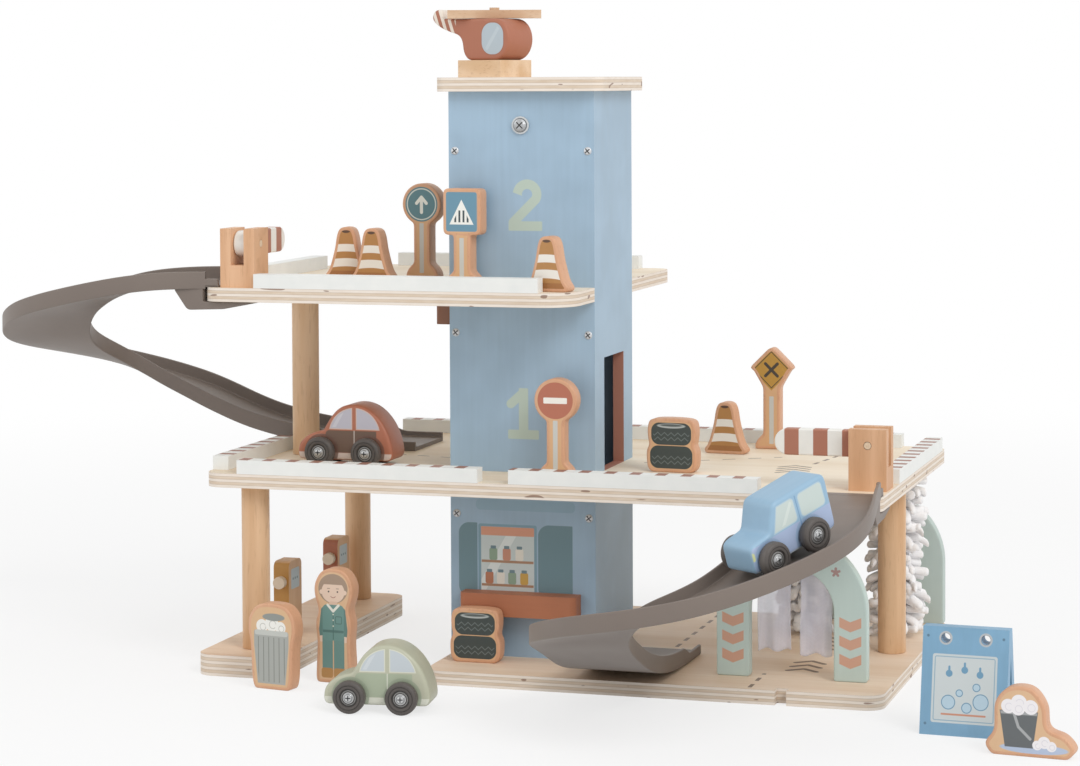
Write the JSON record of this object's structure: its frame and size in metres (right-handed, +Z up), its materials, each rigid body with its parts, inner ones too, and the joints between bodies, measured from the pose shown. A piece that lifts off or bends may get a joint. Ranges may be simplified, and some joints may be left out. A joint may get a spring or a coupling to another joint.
{
  "type": "toy parking garage with lift",
  "caption": "Wooden toy parking garage with a hand-cranked lift tower, decks, spiral ramps, barrier gates, a car wash, loose toy cars and signs.",
  "frame": {"origin": "on the floor under the middle of the lift tower, on the underside of the right base board", "axes": "+X to the right along the long side of the decks, +Y to the back, +Z up"},
  "size_m": [0.8281, 0.4762, 0.4741],
  "materials": {
    "plywood": "clear lacquer",
    "beech": "smooth sanded",
    "blue_paint": "matt paint",
    "terracotta_paint": "matt paint",
    "rust_paint": "matt paint",
    "mustard_paint": "matt paint",
    "sage_paint": "matt paint",
    "green_paint": "matt paint",
    "sky_paint": "matt paint",
    "white_paint": "matt paint",
    "ramp_plastic": "satin",
    "tyre_plastic": "satin",
    "white_fabric": "soft",
    "screw_steel": "polished"
  },
  "bodies": {
    "garage": {"base_board_right": "plywood", "base_board_left": "plywood", "deck_level_1": "plywood", "deck_level_2": "plywood", "roof_board": "plywood", "post_front_left": "beech", "post_back_left": "beech", "post_right": "beech", "post_upper": "beech", "helicopter_block": "beech", "gate_upper_block": "beech", "gate_lower_block": "beech", "gate_upper_pin": "beech", "gate_lower_pin": "beech", "cone_1": "beech", "cone_2": "beech", "cone_3": "beech", "cone_4": "beech", "tyre_stack_deck": "beech", "tyre_stack_base": "beech", "sign_round_upper": "beech", "sign_square": "beech", "sign_round_lower": "beech", "sign_diamond": "beech", "figure_mechanic": "beech", "waste_bin": "beech", "wash_bucket": "beech", "tower_front_panel": "blue_paint", "tower_back_panel": "blue_paint", "tower_left_panel": "blue_paint", "tower_right_panel": "blue_paint", "shop_counter": "terracotta_paint", "pump_red": "terracotta_paint", "helicopter_body": "terracotta_paint", "deck_support_block": "rust_paint", "red_car_body": "rust_paint", "pump_yellow": "mustard_paint", "wash_arch_front": "sage_paint", "wash_arch_back": "sage_paint", "green_car_body": "green_paint", "blue_car_body": "sky_paint", "a_board": "sky_paint", "ramp_upper": "ramp_plastic", "ramp_lower": "ramp_plastic", "wash_curtain": "white_fabric"},
    "lift": {"lift_cabin": "beech"},
    "winch": {"winch_drum": "beech", "winch_end_screw": "screw_steel", "crank_handle": "terracotta_paint"},
    "boom_upper": {"gate_upper_boom": "white_paint"},
    "boom_lower": {"gate_lower_boom": "white_paint"},
    "brush_left": {"wash_brush_left": "white_fabric"},
    "brush_right": {"wash_brush_right": "white_fabric"},
    "rotor": {"helicopter_rotor": "beech"},
    "green_car_wheels_front": {"green_car_wheels_front": "tyre_plastic"},
    "green_car_wheels_rear": {"green_car_wheels_rear": "tyre_plastic"},
    "red_car_wheels_front": {"red_car_wheels_front": "tyre_plastic"},
    "red_car_wheels_rear": {"red_car_wheels_rear": "tyre_plastic"},
    "blue_car_wheels_front": {"blue_car_wheels_front": "tyre_plastic"},
    "blue_car_wheels_rear": {"blue_car_wheels_rear": "tyre_plastic"}
  },
  "joints": [
    {"name": "lift_travel", "type": "slide", "parent": "garage", "child": "lift", "axis": [0, 0, 1], "range_m": [0, 0.2607]},
    {"name": "winch_turn", "type": "hinge", "parent": "garage", "child": "winch", "pos_m": [0, 0, 0.3895], "axis": [0, 1, 0], "range_deg": [0, 1250]},
    {"name": "boom_upper_lift", "type": "hinge", "parent": "garage", "child": "boom_upper", "pos_m": [-0.1925, -0.097, 0.306], "axis": [1, 0, 0], "range_deg": [0, 90]},
    {"name": "boom_lower_lift", "type": "hinge", "parent": "garage", "child": "boom_lower", "pos_m": [0.254, -0.068, 0.1735], "axis": [0, 1, 0], "range_deg": [0, 90]},
    {"name": "brush_left_spin", "type": "hinge", "parent": "garage", "child": "brush_left", "pos_m": [0.172, 0.1, 0.071], "axis": [0, 0, 1], "continuous": true},
    {"name": "brush_right_spin", "type": "hinge", "parent": "garage", "child": "brush_right", "pos_m": [0.242, 0.1, 0.071], "axis": [0, 0, 1], "continuous": true},
    {"name": "rotor_spin", "type": "hinge", "parent": "garage", "child": "rotor", "pos_m": [-0.034, -0.004, 0.4663], "axis": [0, 0, 1], "continuous": true},
    {"name": "green_car_wheels_front_roll", "type": "hinge", "parent": "garage", "child": "green_car_wheels_front", "pos_m": [-0.07259, -0.19635, 0.011], "axis": [-0.1323, 0.9912, 0], "continuous": true},
    {"name": "green_car_wheels_rear_roll", "type": "hinge", "parent": "garage", "child": "green_car_wheels_rear", "pos_m": [-0.03741, -0.19165, 0.011], "axis": [-0.1323, 0.9912, 0], "continuous": true},
    {"name": "red_car_wheels_front_roll", "type": "hinge", "parent": "garage", "child": "red_car_wheels_front", "pos_m": [-0.14975, -0.044, 0.1535], "axis": [0, 1, 0], "continuous": true},
    {"name": "red_car_wheels_rear_roll", "type": "hinge", "parent": "garage", "child": "red_car_wheels_rear", "pos_m": [-0.11425, -0.044, 0.1535], "axis": [0, 1, 0], "continuous": true},
    {"name": "blue_car_wheels_front_roll", "type": "hinge", "parent": "garage", "child": "blue_car_wheels_front", "pos_m": [0.21771, -0.26197, 0.12612], "axis": [-0.8117, 0.5841, 0], "continuous": true},
    {"name": "blue_car_wheels_rear_roll", "type": "hinge", "parent": "garage", "child": "blue_car_wheels_rear", "pos_m": [0.23721, -0.23487, 0.13818], "axis": [-0.8117, 0.5841, 0], "continuous": true}
  ],
  "couplings": [
    {"joint": "winch_turn", "follows": "lift_travel", "rad_per_m": 83.333}
  ]
}
